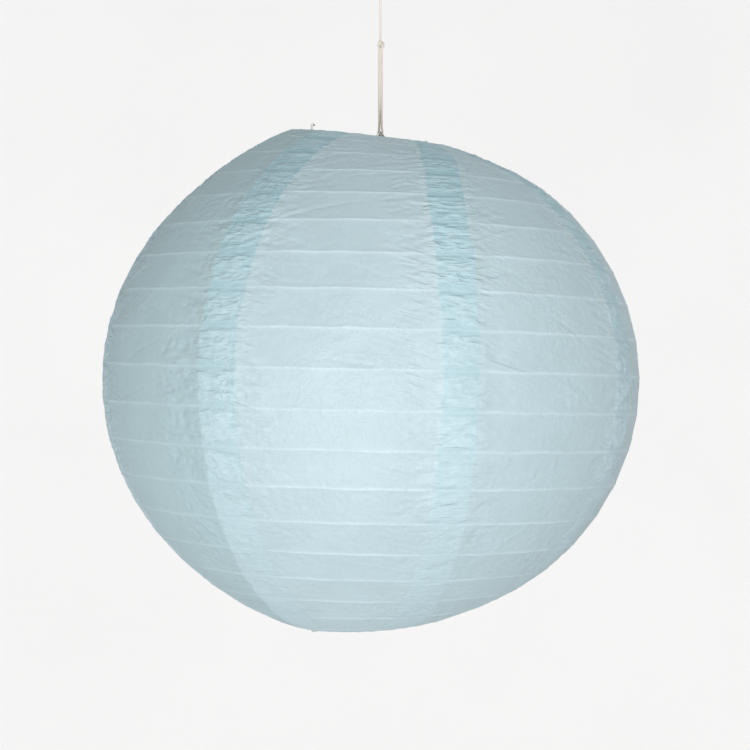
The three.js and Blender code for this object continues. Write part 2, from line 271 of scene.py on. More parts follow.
# ---- creases: a number that a place is divided by is the size of that pattern's features ----
SEAM_CREASE = 0.00085     # how high each kind of crease stands
CRUMPLE = 0.00046
LONG_CREASE = 0.00075
CREASE_BOW = 0.08         # a long crease bows by this share of its length
CALMER = (0.55, 0.80)     # creases across a seam weaken between these shares of the way down
SEAM_HOLD = 0.020         # they keep their full height this far out from the seam
SEAM_FADE = 0.075         # and have died away here
SEAM_APART = 0.37         # moves each seam to its own stretch of the fine creases' pattern
FAN_SLANT = 0.30          # fine creases beside a seam drop by this share as they run to the right


def seam_creases(across, s, seed):
    """Short crests that run across a seam, close together, and fan out beside it."""
    bow = 0.011 * noise(across / 0.05, s / 0.06, seed) + 0.0022 * noise(across / 0.012, s / 0.02, seed + 1)
    fan = 0.16 * across * noise(s / 0.045, s * 0 + 0.5, seed + 2)
    along = s + bow + fan
    fine = ridged(across / 0.034, along / 0.0052, seed + 3)
    coarse = ridged(across / 0.05 + 9, along / 0.0105, seed + 4)
    patchy = 0.55 + 0.6 * noise(across / 0.03, s / 0.03, seed + 5)
    return np.clip(patchy, 0.05, 1.2) * (0.60 * fine + 0.75 * coarse)


def crumple(across, s, seed):
    """Small soft facets in every direction."""
    x = across + 0.004 * noise(across / 0.013, s / 0.013, seed)
    y = s + 0.004 * noise(across / 0.013, s / 0.013, seed + 1)
    return 0.5 * ridged(x / 0.011, y / 0.009, seed + 2) + 0.5 * ridged(x / 0.0055, y / 0.0065, seed + 3)


def long_creases(across, s, width, seed, count=26):
    """Straight thin folds of a hand's breadth, mostly slanting down towards the nearer seam."""
    random = np.random.default_rng(seed)
    total = np.zeros_like(s)
    for _ in range(count):
        middle_s = MERIDIAN * random.uniform(0.12, 0.8)
        middle_across = width * random.uniform(0.08, 0.92)
        side = 1 if middle_across > width / 2 else -1
        angle = side * math.radians(random.uniform(8, 40))
        length = random.uniform(0.02, 0.055)
        blade = random.uniform(0.0012, 0.0028)
        height = random.uniform(0.3, 1.0) * random.choice([-1, 1])
        off_across, off_s = across - middle_across, s - middle_s
        run = off_across * math.cos(angle) + off_s * math.sin(angle)
        beside = -off_across * math.sin(angle) + off_s * math.cos(angle)
        beside = beside - CREASE_BOW * run * run / length
        window = np.clip(1 - (run / length) ** 2, 0, 1)
        total += height * window * np.maximum(0, 1 - np.abs(beside) / blade)
    return total


def across_seam(k, azimuth, s):
    """The signed distance from seam k's middle, round the lantern."""
    return np.radians(azimuth - seam_azimuth(k, s)) * radius_at(s)


def handled_patch(to_end, s):
    """The last gore's well crumpled patch, beside its second seam at half height."""
    down = s / MERIDIAN
    patch = 1 - smoothstep(0.05, 0.09, np.abs(to_end)) + 0 * s
    return patch * smoothstep(0.38, 0.48, down) * (1 - smoothstep(0.75, 0.85, down))


def relief(k, azimuth, s):
    """How far creases lift the sheet of gore k at an azimuth and s."""
    from_start, to_end = across_seam(k, azimuth, s), across_seam(k + 1, azimuth, s)
    upper = 1 - 0.62 * smoothstep(*CALMER, s / MERIDIAN)
    total = np.zeros_like(s)
    held = np.zeros_like(s)
    for seam, across in ((k, from_start), (k + 1, to_end)):
        near = 1 - smoothstep(SEAM_HOLD, SEAM_FADE, np.abs(across))
        seed = 10 * (seam % SEAMS)
        total += SEAM_CREASE * near * upper * seam_creases(across, s, 100 + seed)
        total += CRUMPLE * near * crumple(across, s, 300 + seed)
        held = np.maximum(held, 1 - smoothstep(LAP_AT_EQUATOR / 2, SEAM_HOLD + 0.01, np.abs(across)))
    width = np.radians(seam_azimuth(k + 1, s) - seam_azimuth(k, s)) * radius_at(s)
    zones = 0.45 + 0.75 * noise(from_start / 0.07, s / 0.09, 500 + k)
    own = CRUMPLE * np.clip(zones, 0.1, 1.3) * crumple(from_start, s, 400 + 10 * k)
    if k == SEAMS - 1:
        own += 2 * CRUMPLE * handled_patch(to_end, s) * crumple(from_start, s, 480)
    own += LONG_CREASE * long_creases(from_start, s, float(width.max()), 600 + k)
    return total + own * (1 - held)


def nearest_seam(k, azimuth, s):
    """The signed distance to the nearer seam, its number, and how strong its creases are there."""
    from_start, to_end = across_seam(k, azimuth, s), across_seam(k + 1, azimuth, s)
    first = np.abs(from_start) < np.abs(to_end)
    across = np.where(first, from_start, to_end)
    seam = np.where(first, k, k + 1) % SEAMS
    return across, seam, 1 - smoothstep(0.013, 0.036, np.abs(across))


# ---- gores ----
LAP_COLUMNS = round(LAP_AT_EQUATOR / COLUMN_STEP)
RAMP_COLUMNS = 3
SEARCH_MARGIN = 8     # degrees past a gore's seams in which turns of the rib are looked for
FIRST_LAP, OPEN, RAMP, SECOND_LAP = range(4)   # the kinds of column in a gore's mesh


def rib_length(row, azimuth):
    """The length along a meridian at which one turn of the rib passes an azimuth."""
    return PITCH * (row + (azimuth - SPIRAL_START) / 360)


def line_length(row, azimuth):
    """The same, kept off the rims; the rows "top" and "bottom" are the rims' own edges."""
    if row == "top":
        return 0 * azimuth
    if row == "bottom":
        return 0 * azimuth + MERIDIAN
    return np.clip(rib_length(row, azimuth), ROW_CLEARANCE, MERIDIAN - ROW_CLEARANCE)


def gore_lines(k):
    """Azimuths and lengths of gore k's mesh lines along the rib, and the kind of each column."""
    start, end = straight_azimuth(k), straight_azimuth(k + 1)
    rows = ["top"]
    for row in range(-3, SPIRAL_TURNS + 4):
        begins = rib_length(row, end + SEARCH_MARGIN) > ROW_CLEARANCE
        if begins and rib_length(row, start - SEARCH_MARGIN) < MERIDIAN - ROW_CLEARANCE:
            rows.append(row)
    rows.append("bottom")
    width = math.radians(end - start) * LANTERN_RADIUS
    lap = np.linspace(0, 1, LAP_COLUMNS + 1)
    open_part = np.linspace(0, 1, round((width - LAP_AT_EQUATOR) / COLUMN_STEP) + 1)[1:]
    ramp = np.linspace(0, 1, RAMP_COLUMNS + 1)[1:]
    azimuths, lengths = [], []
    for row in rows:
        first_low, first_high = lap_edges(k, line_length(row, np.array([start])))
        last_low, last_high = lap_edges(k + 1, line_length(row, np.array([end])))
        ramp_angle = math.degrees(LAP_RAMP / float(radius_at(line_length(row, np.array(last_low)))))
        first = first_low + (first_high - first_low) * lap
        ramp_start = last_low - ramp_angle
        second = first[-1] + (ramp_start - first[-1]) * open_part
        third = ramp_start + ramp_angle * ramp
        fourth = last_low + (last_high - last_low) * lap[1:]
        azimuths.append(np.concatenate([first, second, third, fourth]))
        lengths.append(line_length(row, azimuths[-1]))
    columns = ((FIRST_LAP, lap), (OPEN, open_part), (RAMP, ramp), (SECOND_LAP, lap[1:]))
    kind = np.concatenate([values * 0 + number for number, values in columns])
    return np.array(azimuths), np.array(lengths), kind


WIRE_ROWS = (0, 0.0006, 0.0013)   # mesh rows beside a turn of the rib, by their distance from it
WIRE_SIDE = 0.002                 # from here on the rows are evenly spaced
NARROW_GAP = 0.008                # where two lines are closer than this, all rows are


def row_shares(longest):
    """Where mesh rows lie between two lines: close beside both wires and evenly in between."""
    if longest <= NARROW_GAP:
        return np.linspace(0, 1, max(2, round(longest / ROW_STEP)) + 1)[:-1]
    edge = np.array(WIRE_ROWS) / longest
    steps = round((longest - 2 * WIRE_SIDE) / ROW_STEP)
    inner = np.linspace(WIRE_SIDE / longest, 1 - WIRE_SIDE / longest, steps + 1)
    return np.concatenate([edge, inner, 1 - edge[:0:-1]])


def gore_grid(k):
    """Gore k's mesh grid: azimuth, s, share of the way between two turns of the rib, their gap,
    the distance to the nearer one, and the kind of column."""
    azimuths, lengths, kind = gore_lines(k)
    grid = {"azimuth": [], "s": [], "share": [], "gap": [], "rib": []}
    last = len(lengths) - 1
    for i in range(last):
        gap = lengths[i + 1] - lengths[i]
        for share in row_shares(gap.max()):
            ribs = []
            if i > 0:
                ribs.append(share * gap)
            if i < last - 1:
                ribs.append((1 - share) * gap)
            grid["azimuth"].append(azimuths[i] + share * (azimuths[i + 1] - azimuths[i]))
            grid["s"].append(lengths[i] + share * gap)
            grid["share"].append(share + 0 * gap)
            grid["gap"].append(gap)
            grid["rib"].append(np.minimum.reduce(ribs))
    grid["azimuth"].append(azimuths[last])
    grid["s"].append(lengths[last])
    grid["share"].append(0 * azimuths[last])
    grid["gap"].append(gap)
    grid["rib"].append(gap)
    grid = {name: np.array(values) for name, values in grid.items()}
    grid["kind"] = np.broadcast_to(kind, grid["s"].shape)
    return grid


def lap_lift(grid):
    """How far the sheet is raised where it lies on the next one."""
    columns = grid["kind"][0]
    lift = np.where(columns == SECOND_LAP, 1.0, 0.0)
    lift[columns == RAMP] = np.linspace(0, 1, RAMP_COLUMNS + 1)[1:]
    return np.broadcast_to(LAP_LIFT * lift, grid["s"].shape)


SAG_BEND = 13 * 0.235  # a sheet dips by its gap squared over this; 8 times the radius would be flat
RIM_DIP = 0.0006       # no crease goes deeper than this beside a rim's wire
RIM_SEAT = 0.002       # which means this close to the edge
RIM_PUCKER = 0.00055   # how high the gathers round both rims stand
TURN_ROWS = 7          # mesh rows in each turned-in edge
RIB_SHINE = 0.0012     # half the width of the painted highlight along the wire


def calm_by_rib(grid):
    """Creases are weak where the wire holds the sheet."""
    return 0.25 + 0.75 * smoothstep(0, 0.006, grid["rib"])


def sheet_heights(k, grid):
    """How far each point of gore k lies outside the lantern's plain surface."""
    s, azimuth, share = grid["s"], grid["azimuth"], grid["share"]
    bowl = 4 * share * (1 - share)
    tightness = (grid["gap"] / PITCH) ** 2
    dips = SAG * (1 + 0.3 * noise(azimuth / 9, s / 0.05, 700))
    stiff = 1 - 0.45 * (grid["kind"] != OPEN)
    out = lap_lift(grid) - bowl * (grid["gap"] ** 2 / SAG_BEND + dips * tightness * stiff)
    sewn = np.where(grid["kind"] == OPEN, 1.0, RIDGE_IN_LAP)
    out += RIDGE * sewn * np.exp(-(grid["rib"] / RIDGE_WIDTH) ** 2)
    rim = np.minimum(s, MERIDIAN - s)
    out += relief(k, azimuth, s) * calm_by_rib(grid) * smoothstep(0.0005, 0.012, rim)
    along_rim = np.radians(azimuth) * OPENING_RADIUS
    out += RIM_PUCKER * noise(along_rim / 0.006, s / 0.02 + 3.5, 900) * (1 - smoothstep(0, 0.016, rim))
    return out


def pad(values):
    """Repeats a grid's first and last rows for the rows of the two turned-in edges."""
    edge = np.ones((TURN_ROWS, 1))
    return np.concatenate([edge * values[:1], values, edge * values[-1:]])


def make_gore(k):
    """One sheet of paper, turned in round both rims, as a fine single-skin mesh."""
    grid = gore_grid(k)
    s, azimuth = grid["s"], grid["azimuth"]
    out = sheet_heights(k, grid)
    turns = np.linspace(TURN_IN, 0, TURN_ROWS + 1)[:-1][:, None]
    ends_s, ends_out = [], []
    for row in (0, -1):
        wrap = RIM_INSET + np.maximum(out[row], 0)
        ends_s.append(-wrap * np.sin(turns))
        ends_out.append(wrap * np.cos(turns) - RIM_INSET)
    rim = np.minimum(s, MERIDIAN - s)
    out = np.where(rim < RIM_SEAT, np.maximum(out, -RIM_DIP), out)
    sway = RIB_SWAY * noise(azimuth / 7, s / 0.05, 950) * smoothstep(0.002, 0.02, rim)
    all_s = np.concatenate([ends_s[0], s + sway, MERIDIAN - ends_s[1][::-1]])
    all_out = np.concatenate([ends_out[0], out, ends_out[1][::-1]])
    points = skin(all_s, pad(azimuth), all_out)
    sheet = mesh_object(f"paper_gore_{k + 1}_sheet", points.reshape(-1, 3), grid_faces(*all_s.shape))
    add_vectors(sheet, "rest", points.reshape(-1, 3))
    label_sheet(sheet, k, grid, all_s)
    return sheet


def label_sheet(sheet, k, grid, all_s):
    """Stores what the paper's material needs to know about each point of a gore."""
    s = grid["s"]
    double = np.where((grid["kind"] == FIRST_LAP) | (grid["kind"] == SECOND_LAP), 1.0, 0.0)
    double[:, grid["kind"][0] == RAMP] = np.linspace(0, 1, RAMP_COLUMNS + 1)[1:] ** 2
    # rib: where the painted highlight along the wire lies, weaker on doubled paper
    rib = np.exp(-(grid["rib"] / RIB_SHINE) ** 2) * (1 - 0.6 * double)
    tone = GORE_TONE[k] + (1 - GORE_TONE[k]) * double
    across, seam, near = nearest_seam(k, grid["azimuth"], s)
    strength = near * calm_by_rib(grid) * (1 - 0.55 * smoothstep(*CALMER, s / MERIDIAN))
    for label, values in (("double", double), ("rib", rib), ("down", s / MERIDIAN),
                          ("tone", tone), ("seam", strength)):
        add_values(sheet, label, pad(values))
    across = pad(across)
    apart = across + SEAM_APART * pad(seam)
    for label, slant in (("sheet", 0), ("fan", FAN_SLANT)):
        place = np.stack([apart, all_s - slant * across, 0 * all_s], axis=-1)
        add_vectors(sheet, label, place.reshape(-1, 3))
    aside = np.abs(across)
    fanned = smoothstep(0.010, 0.022, aside) * (1 - smoothstep(0.035, 0.085, aside))
    fanned = fanned * smoothstep(-0.2, 0.5, noise(apart / 0.05, all_s / 0.06, 800))
    fanned = fanned * smoothstep(0.10, 0.20, all_s) * (1 - smoothstep(0.36, 0.46, all_s))
    add_values(sheet, "fanned", fanned)


# ---- the collapse: the paper and the rib are split at two level planes ----
def joint_named(name):
    """One joint's entry in the frame."""
    return next(joint for joint in frame["joints"] if joint["name"] == name)


TOP_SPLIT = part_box("top_ring")[0].z - 0.0005        # just under the top rim's ring
BOTTOM_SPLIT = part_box("bottom_ring")[1].z + 0.0045  # over the bottom rim's, clear of the feet
SPLIT_GAP = 0.0001  # a gap between the middle part and the foot, so that the two don't meet


def between(source, name, low, high):
    """The part of a mesh between two heights, as a new object."""
    bm = bmesh.new()
    bm.from_mesh(source.data)
    for height, up in ((low, -1), (high, 1)):
        if height is not None:
            geometry = bm.verts[:] + bm.edges[:] + bm.faces[:]
            bmesh.ops.bisect_plane(bm, geom=geometry, plane_co=(0, 0, height),
                                   plane_no=(0, 0, up), clear_outer=True)
    for edge in bm.edges:
        edge.smooth = not edge.is_boundary
    mesh = bpy.data.meshes.new(name)
    bm.to_mesh(mesh)
    bm.free()
    mesh.polygons.foreach_set("use_smooth", [True] * len(mesh.polygons))
    part = bpy.data.objects.new(name, mesh)
    bpy.context.scene.collection.objects.link(part)
    return part


def fold_with_collapse(source, name, finish, thickness=0.0):
    """Splits a mesh at the two planes: its top and middle go with the lantern's body, its foot with the
    bottom rim's, and the middle gets a mesh of its own.
    """
    spans = (("_top", TOP_SPLIT, None), ("", BOTTOM_SPLIT, TOP_SPLIT),
             ("_foot", None, BOTTOM_SPLIT - SPLIT_GAP))
    parts = []
    for ending, low, high in spans:
        part = between(source, name + ending, low, high)
        part.data.materials.append(finish)
        if thickness:
            solid = part.modifiers.new("thickness", "SOLIDIFY")
            solid.thickness = thickness
            solid.offset = -1
        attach(part, "bottom_rim" if ending == "_foot" else "lantern")
        if not ending:
            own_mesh(part)
        parts.append(part)
    bpy.data.objects.remove(source)
    return parts


# ---- materials ----
class Nodes:
    """A material's node tree, with short calls to add and join nodes."""

    def __init__(self, name):
        self.material = bpy.data.materials.new(name)
        self.material.use_nodes = True
        self.tree = self.material.node_tree
        self.tree.nodes.clear()
        self.output = self.add("ShaderNodeOutputMaterial")

    def add(self, kind, inputs=None, **settings):
        """A new node. Each input is a value, or the output of another node to join it to."""
        node = self.tree.nodes.new(kind)
        for key, value in settings.items():
            setattr(node, key, value)
        for key, value in (inputs or {}).items():
            if isinstance(value, bpy.types.NodeSocket):
                self.tree.links.new(value, node.inputs[key])
            else:
                node.inputs[key].default_value = value
        return node

    def attribute(self, name, output="Fac"):
        """A value that the mesh stores at each point."""
        return self.add("ShaderNodeAttribute", attribute_name=name).outputs[output]

    def place(self, scale=(1, 1, 1), rotation=(0, 0, 0), on=None):
        """A place for a pattern: in the object's own space, or on a vector that the mesh stores."""
        where = self.attribute(on, "Vector") if on else self.add("ShaderNodeTexCoord").outputs["Object"]
        inputs = {"Vector": where, "Scale": scale, "Rotation": rotation}
        return self.add("ShaderNodeMapping", inputs).outputs["Vector"]

    def noise(self, scale, detail=3, roughness=0.55, place=None, distortion=0.0):
        """A noise pattern's value."""
        inputs = {"Scale": scale, "Detail": detail, "Roughness": roughness, "Distortion": distortion}
        inputs["Vector"] = place or self.place()
        return self.add("ShaderNodeTexNoise", inputs).outputs["Fac"]

    def math(self, operation, a, b=0.0, clamp=False):
        """A sum, product or other operation on numbers or outputs."""
        node = self.add("ShaderNodeMath", operation=operation, use_clamp=clamp)
        for socket, value in zip(node.inputs, (a, b)):
            if isinstance(value, bpy.types.NodeSocket):
                self.tree.links.new(value, socket)
            else:
                socket.default_value = value
        return node.outputs[0]

    def spread(self, value, low, high, to_low=0.0, to_high=1.0):
        """Stretches the span low to high to the span to_low to to_high, and clamps it there."""
        inputs = {"Value": value, "From Min": low, "From Max": high,
                  "To Min": to_low, "To Max": to_high}
        return self.add("ShaderNodeMapRange", inputs).outputs["Result"]

    def mix(self, factor, a, b, blend="MIX"):
        """A colour between a and b."""
        node = self.add("ShaderNodeMix", data_type="RGBA", blend_type=blend)
        for socket, value in ((node.inputs[0], factor), (node.inputs[6], a), (node.inputs[7], b)):
            if isinstance(value, bpy.types.NodeSocket):
                self.tree.links.new(value, socket)
            else:
                socket.default_value = (*value, 1) if isinstance(value, tuple) else value
        return node.outputs[2]

    def bump(self, height, strength, distance, normal=None):
        """A normal that is tilted by a height, on top of another normal."""
        inputs = {"Height": height, "Strength": strength, "Distance": distance}
        if normal is not None:
            inputs["Normal"] = normal
        return self.add("ShaderNodeBump", inputs).outputs["Normal"]

    def finish(self, surface):
        """Joins the last shader to the output, and gives the material."""
        self.tree.links.new(surface, self.output.inputs["Surface"])
        return self.material


PAPER_SINGLE = (0.466, 0.584, 0.617)   # linear colours
DOUBLE_SHADED_ABOVE = (0.330, 0.520, 0.575)   # two sheets near the top, with painted shade
DOUBLE_LIT_BELOW = (0.470, 0.604, 0.644)   # two sheets lower down, with painted light
PAPER_HIGHLIGHT = (0.62, 0.74, 0.78)       # painted highlight along the rib's wire and on the crests of the creases
TRANSLUCENCY = 0.40
SHINE = 0.9
PLEAT_HEIGHT = 0.0017
FAN_SHARE = 0.27                       # the creases beside a seam against those across it
FACET_HEIGHT = 0.0003
FIBRE_HEIGHT = 0.00012
TONE_HUE_SHIFT = -0.35                      # a darker sheet is also drawn bluer


def crests(n, value, width):
    """A sharp crest wherever a noise value passes its middle."""
    away = n.math("ABSOLUTE", n.math("SUBTRACT", value, 0.5))
    return n.math("SUBTRACT", 1.0, n.math("DIVIDE", away, width), clamp=True)


def on_rest(n, scale=(1, 1, 1)):
    """A place that stays with the paper when it folds up."""
    return n.place(scale, on="rest")


def paper_creases(n):
    """The fine creases across the seams, and those that run out beside them."""
    level = n.noise(1, detail=2, roughness=0.5, place=n.place((44, 108, 1), on="sheet"), distortion=0.7)
    slant = n.noise(1, detail=1, roughness=0.5, place=n.place((42, 190, 1), (0, 0, 0.16), "sheet"))
    pleats = n.math("ADD", n.math("MULTIPLY", crests(n, level, 0.34), 0.70),
                    n.math("MULTIPLY", crests(n, slant, 0.26), 0.35))
    pleats = n.math("MULTIPLY", pleats, n.attribute("seam"))
    fans = n.noise(1, detail=2, roughness=0.5, place=n.place((19, 125, 1), on="fan"), distortion=0.5)
    fans = n.math("MULTIPLY", crests(n, fans, 0.14), n.attribute("fanned"))
    return pleats, fans


def paper_colour(n, fibres, strands, pleats, fans):
    """Deeper where two sheets overlap, with painted shade on them near the top and painted light lower
    down, painted highlights along the rib and on the crests of the creases, and cloudy.
    """
    # doubled paper goes from painted shade near the top to painted light lower down
    doubled = n.mix(n.spread(n.attribute("down"), 0.12, 0.72), DOUBLE_SHADED_ABOVE, DOUBLE_LIT_BELOW)
    base = n.mix(n.attribute("double"), PAPER_SINGLE, doubled)
    # painted highlight along the rib's wire, mottled in strength
    rib_highlight = n.spread(n.noise(34, detail=2, place=on_rest(n)), 0.35, 0.65, 0.26, 0.56)
    base = n.mix(n.math("MULTIPLY", n.attribute("rib"), rib_highlight), base, PAPER_HIGHLIGHT)
    # painted highlight on the crests of the creases beside the seams
    sharp = n.math("MULTIPLY", n.math("POWER", pleats, 2.5), 0.42)
    sharp = n.math("ADD", sharp, n.math("MULTIPLY", fans, 0.12), clamp=True)
    base = n.mix(sharp, base, PAPER_HIGHLIGHT)
    clouds = n.noise(26, detail=4, roughness=0.6, place=on_rest(n))
    shade = n.math("ADD", n.spread(clouds, 0.3, 0.7, 0.975, 1.025),
                   n.spread(fibres, 0.3, 0.7, -0.03, 0.03))
    shade = n.math("ADD", shade, n.spread(strands, 0.35, 0.7, -0.015, 0.015))
    shade = n.math("MULTIPLY", shade, n.attribute("tone"))
    bluish = n.math("MULTIPLY", shade, n.math("POWER", n.attribute("tone"), TONE_HUE_SHIFT))
    tint = n.add("ShaderNodeCombineColor", {"Red": shade, "Green": bluish, "Blue": bluish})
    return n.mix(1.0, base, tint.outputs[0], "MULTIPLY")


def paper_finish():
    """Thin dyed tissue paper: crinkled, cloudy with fibres, a little shiny, and letting light through."""
    n = Nodes("paper")
    fibres = n.noise(420, detail=5, roughness=0.7, place=on_rest(n, (1, 1, 0.35)), distortion=0.6)
    strands = n.noise(210, detail=3, roughness=0.6, place=on_rest(n, (1, 1, 3.2)), distortion=1.5)
    pleats, fans = paper_creases(n)
    colour = paper_colour(n, fibres, strands, pleats, fans)
    facets = crests(n, n.noise(85, detail=2, roughness=0.6, place=on_rest(n), distortion=0.5), 0.10)
    patches = n.spread(n.noise(9, detail=2, place=on_rest(n)), 0.42, 0.62)
    normal = n.bump(fibres, 0.35, FIBRE_HEIGHT)
    normal = n.bump(n.math("MULTIPLY", facets, patches), 0.7, FACET_HEIGHT, normal)
    creases = n.math("ADD", pleats, n.math("MULTIPLY", fans, FAN_SHARE))
    normal = n.bump(creases, 1.0, PLEAT_HEIGHT, normal)
    inputs = {"Base Color": colour, "Roughness": n.spread(strands, 0.3, 0.7, 0.50, 0.62),
              "Normal": normal, "Specular IOR Level": SHINE}
    front = n.add("ShaderNodeBsdfPrincipled", inputs).outputs[0]
    through = n.add("ShaderNodeBsdfTranslucent", {"Color": colour, "Normal": normal}).outputs[0]
    return n.finish(n.add("ShaderNodeMixShader", {"Fac": TRANSLUCENCY, 1: front, 2: through}).outputs[0])


def wire_finish(name, colour, dark, roughness, metallic):
    """Drawn wire with faint lengthwise scratches and duller patches."""
    n = Nodes(name)
    patches = n.noise(90, detail=4, roughness=0.65)
    scratches = n.noise(900, detail=2, place=n.place((1, 1, 0.06)))
    base = n.mix(n.spread(patches, 0.42, 0.68), colour, dark)
    rough = n.math("ADD", n.spread(patches, 0.3, 0.7, roughness - 0.08, roughness + 0.12),
                   n.spread(scratches, 0.3, 0.7, -0.05, 0.05))
    inputs = {"Base Color": base, "Roughness": rough, "Metallic": metallic,
              "Normal": n.bump(scratches, 0.3, 0.00006)}
    return n.finish(n.add("ShaderNodeBsdfPrincipled", inputs).outputs[0])


COTTON = (0.72, 0.675, 0.62)
COTTON_SOILED = (0.66, 0.61, 0.555)
COTTON_GROOVE_SHADE = (0.56, 0.50, 0.44)


def cord_finish():
    """Undyed cotton: creamy, with painted shade between the strands, and a fine fuzz."""
    n = Nodes("cord")
    lint = n.noise(1500, detail=4, roughness=0.7)
    soil = n.noise(60, detail=3)
    base = n.mix(n.spread(soil, 0.35, 0.7), COTTON, COTTON_SOILED)
    # painted shade in the grooves between the strands
    base = n.mix(n.math("MULTIPLY", n.attribute("groove_shade"), 0.40), base, COTTON_GROOVE_SHADE)
    inputs = {"Base Color": base, "Roughness": 0.9, "Normal": n.bump(lint, 0.5, 0.0001),
              "Sheen Weight": 0.3, "Sheen Roughness": 0.5}
    front = n.add("ShaderNodeBsdfPrincipled", inputs).outputs[0]
    through = n.add("ShaderNodeBsdfTranslucent", {"Color": base}).outputs[0]
    return n.finish(n.add("ShaderNodeMixShader", {"Fac": 0.35, 1: front, 2: through}).outputs[0])


# ---- cords ----
STRANDS = 3
LAY = 0.0105          # length of one turn of the cord's strands
STRAND_SIDES = 8      # points across each strand
GROOVE = 0.30         # how deep the grooves between the strands are, as a share of the radius
FUZZ = 0.012          # how rough the strands are, as a share of the radius


def frames_along(path):
    """Two normals at each point of a path, carried on without twist."""
    path = np.asarray(path, float)
    tangent = np.gradient(path, axis=0)
    tangent /= np.linalg.norm(tangent, axis=1)[:, None]
    side = np.zeros_like(path)
    guess = np.array([0.3, 0.9, 0.1])
    for i, t in enumerate(tangent):
        guess = guess - t * guess.dot(t)
        guess /= np.linalg.norm(guess)
        side[i] = guess
    return side, np.cross(tangent, side)


def resample(points, step):
    """A smooth curve through points, with evenly spaced places on it."""
    points = np.asarray(points, float)
    ends = np.concatenate([[2 * points[0] - points[1]], points, [2 * points[-1] - points[-2]]])
    fine = []
    for a, b, c, d in zip(ends, ends[1:], ends[2:], ends[3:]):
        for t in np.linspace(0, 1, 12, endpoint=False):
            fine.append(0.5 * (2 * b + (c - a) * t + (2 * a - 5 * b + 4 * c - d) * t**2
                               + (3 * b - a - 3 * c + d) * t**3))
    fine.append(points[-1])
    fine = np.array(fine)
    length = np.concatenate([[0], np.cumsum(np.linalg.norm(np.diff(fine, axis=0), axis=1))])
    wanted = np.linspace(0, length[-1], max(4, round(length[-1] / step)) + 1)
    return np.stack([np.interp(wanted, length, fine[:, i]) for i in range(3)], axis=1)


def twisted_cord(name, points, diameter, finish):
    """A three-strand cord along a route: lobed all round, its lobes turning as they go."""
    path = resample(points, diameter / 5)
    side, other = frames_along(path)
    count = STRANDS * STRAND_SIDES
    angle = np.linspace(0, 2 * np.pi, count, endpoint=False)
    travelled = np.arange(len(path)) * np.linalg.norm(path[1] - path[0])
    turn = 2 * np.pi * travelled / LAY
    lobe = np.abs(np.cos(STRANDS * angle / 2)) ** 0.75
    radius = diameter / 2 * (1 - GROOVE + GROOVE * lobe)
    fuzz = np.random.default_rng(7).normal(0, FUZZ, (len(path), count))
    around = angle[None, :] + turn[:, None]
    r = radius[None, :] * (1 + fuzz)
    ring = (path[:, None] + (r * np.cos(around))[..., None] * side[:, None]
            + (r * np.sin(around))[..., None] * other[:, None])
    cord = mesh_object(name, ring.reshape(-1, 3), tube_faces(len(path), count))
    # how far into a groove each point lies, for the painted shade there
    add_values(cord, "groove_shade", np.tile(1 - lobe, len(path)))
    cord.data.materials.append(finish)
    return cord, path


KNOT_POINTS = 46
KNOT_WINDINGS = 3     # times that a knot's strand goes up and down on its way round


def make_knot(name, node, body, finish):
    """An overhand knot: one strand wound round itself inside the CAD knot's outline."""
    low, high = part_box(node)
    middle, half = (low + high) / 2, (high - low) / 2
    strand = CORD_DIAMETER * 0.98
    wide, deep, tall = (half[i] - strand / 2 for i in range(3))
    t = np.linspace(0, 2 * np.pi, KNOT_POINTS)
    x = wide * (0.62 * np.cos(t) + 0.38 * np.cos(2 * t + 0.5))
    y = deep * np.sin(t + 0.4) * 0.95
    z = tall * np.sin(KNOT_WINDINGS * t)
    knot, _ = twisted_cord(name, np.stack([x, y, z], axis=1) + np.array(middle), strand, finish)
    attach(knot, body)
    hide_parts(node)
    return knot


TUCK = 0.0006         # each run's end is tucked this far into its knot
LOOP_NECK = 0.0015    # half the distance between the hanging loop's sides at its knot
SLING_SIDE = 0.00125  # and between the sling's sides under its own
SLING_FOOT = 0.00275  # the radius of the sling's bend under the crown


def declare_cord(piece, body, node):
    """Joins one run of cord to its body and hides its CAD node."""
    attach(piece, body)
    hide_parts(node)


def build_hanging_loop(finish):
    """The loop that the whole lantern hangs by, with the knot that closes it."""
    loop_low, loop_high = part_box("hanging_loop")
    half = (loop_high.x - loop_low.x) / 2 - CORD_DIAMETER / 2
    shoulder = loop_high.z - CORD_DIAMETER / 2 - half
    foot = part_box("upper_knot")[1].z - TUCK
    arc = [(half * math.cos(a), 0, shoulder + half * math.sin(a)) for a in np.linspace(math.pi, 0, 13)]
    rise = [(-LOOP_NECK, 0, foot), (-0.0024, 0, foot + 0.005), (-0.0038, 0, foot + 0.013)]
    fall = [(-x, y, z) for x, y, z in reversed(rise)]
    loop, path = twisted_cord("hanging_loop_cord", rise + arc + fall, CORD_DIAMETER, finish)
    knot = make_knot("upper_knot_wound", "upper_knot", "top_loop", finish)
    declare_cord(loop, "top_loop", "hanging_loop")


def build_straight_run(finish):
    """The single cord between the two knots."""
    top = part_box("upper_knot")[0].z + TUCK
    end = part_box("lower_knot")[1].z - TUCK
    straight = [(0, 0, z) for z in np.linspace(end, top, 15)]
    run, path = twisted_cord("hanging_cord_run", straight, CORD_DIAMETER, finish)
    declare_cord(run, "cord", "hanging_cord")


def beside_cord(out, z, turn):
    """A point out from the cord's line, in the direction turn."""
    return (out * math.cos(turn), out * math.sin(turn), z)


